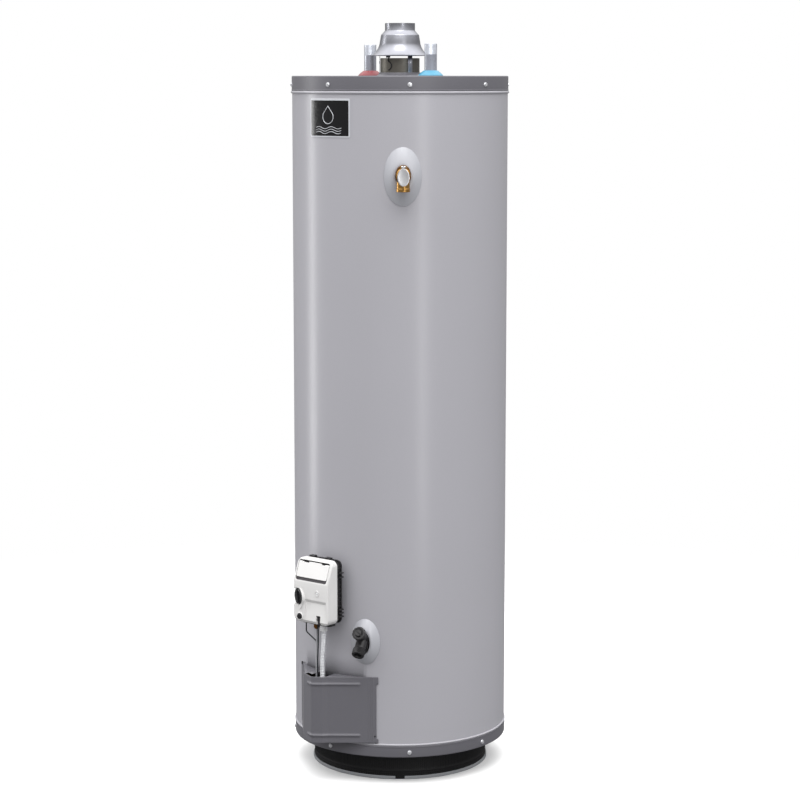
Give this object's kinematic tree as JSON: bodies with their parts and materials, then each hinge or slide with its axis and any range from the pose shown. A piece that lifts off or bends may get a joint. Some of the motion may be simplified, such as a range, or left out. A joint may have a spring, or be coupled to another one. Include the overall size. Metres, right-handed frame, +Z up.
{
  "type": "tank water heater",
  "caption": "Tall round gas tank water heater with draft hood, side relief valve, drain valve, gas control and burner door.",
  "frame": {"origin": "on the tank axis, at the floor", "axes": "+Z up; the front, with the gas control and burner door, faces -Y; cold inlet nipple on the +X side"},
  "size_m": [0.465, 0.5264, 1.592],
  "materials": {
    "jacket_paint": "satin light grey enamel",
    "cover_paint": "satin mid grey enamel",
    "door_paint": "satin dark grey enamel",
    "zinc_screw": "bright zinc plate",
    "black_screen": "black perforated screen",
    "trim_grey": "grey trim band",
    "galvanised": "galvanised sheet",
    "badge_black": "gloss black plate",
    "foam": "rigid polyurethane foam",
    "glass_wool": "glass-fibre blanket",
    "tank_enamel": "glass-lined steel",
    "plain_steel": "mill finish",
    "flue_steel": "dark mill scale",
    "red_plastic": "gloss",
    "blue_plastic": "gloss",
    "white_plastic": "satin moulded",
    "magnesium": "extruded rod",
    "brass": "machined",
    "tag_aluminium": "plain stamped tag",
    "escutcheon_grey": "satin grey moulded",
    "black_plastic": "moulded black",
    "lens": "clear lens",
    "tube_aluminium": "drawn tube",
    "lead_sleeve": "insulated lead",
    "cast_burner": "as cast",
    "gasket_fibre": "fibre gasket",
    "sight_glass": "clear"
  },
  "bodies": {
    "heater": {"air_intake_ring": "black_screen", "anode_rod": "magnesium", "base_pan": "galvanised", "base_trim_ring": "trim_grey", "bottom_cover": "cover_paint", "bottom_cover_screws": "zinc_screw", "burner_feed_tube": "plain_steel", "burner_head": "cast_burner", "chamber_insulation": "glass_wool", "cold_nipple": "galvanised", "cold_ring": "blue_plastic", "combustion_chamber": "plain_steel", "control_cover": "white_plastic", "dip_tube": "white_plastic", "draft_hood": "galvanised", "draft_hood_legs": "galvanised", "drain_escutcheon": "escutcheon_grey", "drain_valve_body": "black_plastic", "flame_arrestor": "plain_steel", "flue_baffle": "flue_steel", "flue_tube": "flue_steel", "foam_insulation": "foam", "gas_tube": "tube_aluminium", "gas_tube_nut": "zinc_screw", "gas_valve_body": "black_plastic", "hot_nipple": "galvanised", "hot_ring": "red_plastic", "igniter_lead": "lead_sleeve", "inner_burner_door": "plain_steel", "inner_door_gasket": "gasket_fibre", "inner_door_screws": "zinc_screw", "jacket": "jacket_paint", "lid_hinge_pin": "zinc_screw", "nameplate": "badge_black", "pilot_assembly": "plain_steel", "pilot_fitting": "brass", "pilot_tube": "tube_aluminium", "relief_escutcheon": "escutcheon_grey", "relief_lever_pin": "zinc_screw", "relief_valve_body": "brass", "relief_valve_probe": "brass", "sight_glass": "sight_glass", "status_light": "lens", "tank_bottom_head": "tank_enamel", "tank_shell": "tank_enamel", "tank_spuds": "plain_steel", "tank_top_head": "tank_enamel", "thermopile_lead": "lead_sleeve", "thermostat_probe": "brass", "top_cover": "cover_paint", "top_cover_screws": "zinc_screw"},
    "relief_lever": {"relief_valve_lever": "zinc_screw", "relief_valve_tag": "tag_aluminium"},
    "relief_stem": {"relief_valve_stem": "brass"},
    "drain_stem": {"drain_valve_stem": "black_plastic"},
    "control_lid": {"control_lid": "white_plastic"},
    "gas_knob_stem": {"gas_knob_stem": "zinc_screw"},
    "gas_knob": {"gas_knob": "black_plastic"},
    "igniter_button": {"igniter_button": "black_plastic"},
    "outer_door": {"outer_burner_door": "door_paint"}
  },
  "joints": [
    {"name": "relief_lever_lift", "type": "hinge", "parent": "heater", "child": "relief_lever", "pos_m": [0.18384, -0.20853, 1.3], "axis": [-0.7501, -0.6613, 0], "range_deg": [0, 70], "stiffness_Nm_per_rad": 0.2},
    {"name": "relief_stem_slide", "type": "slide", "parent": "heater", "child": "relief_stem", "axis": [0.6613, -0.7501, 0], "range_m": [0, 0.004]},
    {"name": "drain_stem_turn", "type": "hinge", "parent": "heater", "child": "drain_stem", "pos_m": [0.09122, -0.23276, 0.323], "axis": [0.316, -0.8063, 0.5], "range_deg": [0, 90]},
    {"name": "control_lid_flip", "type": "hinge", "parent": "heater", "child": "control_lid", "pos_m": [0, -0.27106, 0.47005], "axis": [-1, 0, 0], "range_deg": [0, 95]},
    {"name": "gas_knob_press", "type": "slide", "parent": "heater", "child": "gas_knob_stem", "axis": [0.3746, 0.9272, 0], "range_m": [0, 0.005], "stiffness_N_per_m": 400},
    {"name": "gas_knob_turn", "type": "hinge", "parent": "gas_knob_stem", "child": "gas_knob", "pos_m": [-0.0397, -0.287, 0.399], "axis": [-0.3746, -0.9272, 0], "range_deg": [0, 180]},
    {"name": "igniter_press", "type": "slide", "parent": "heater", "child": "igniter_button", "axis": [0, 1, 0], "range_m": [0, 0.006], "stiffness_N_per_m": 600},
    {"name": "outer_door_pull", "type": "slide", "parent": "heater", "child": "outer_door", "axis": [0, -1, 0], "range_m": [0, 0.12]}
  ],
  "couplings": [
    {"joint": "relief_stem_slide", "follows": "relief_lever_lift", "m_per_rad": 0.0032}
  ]
}
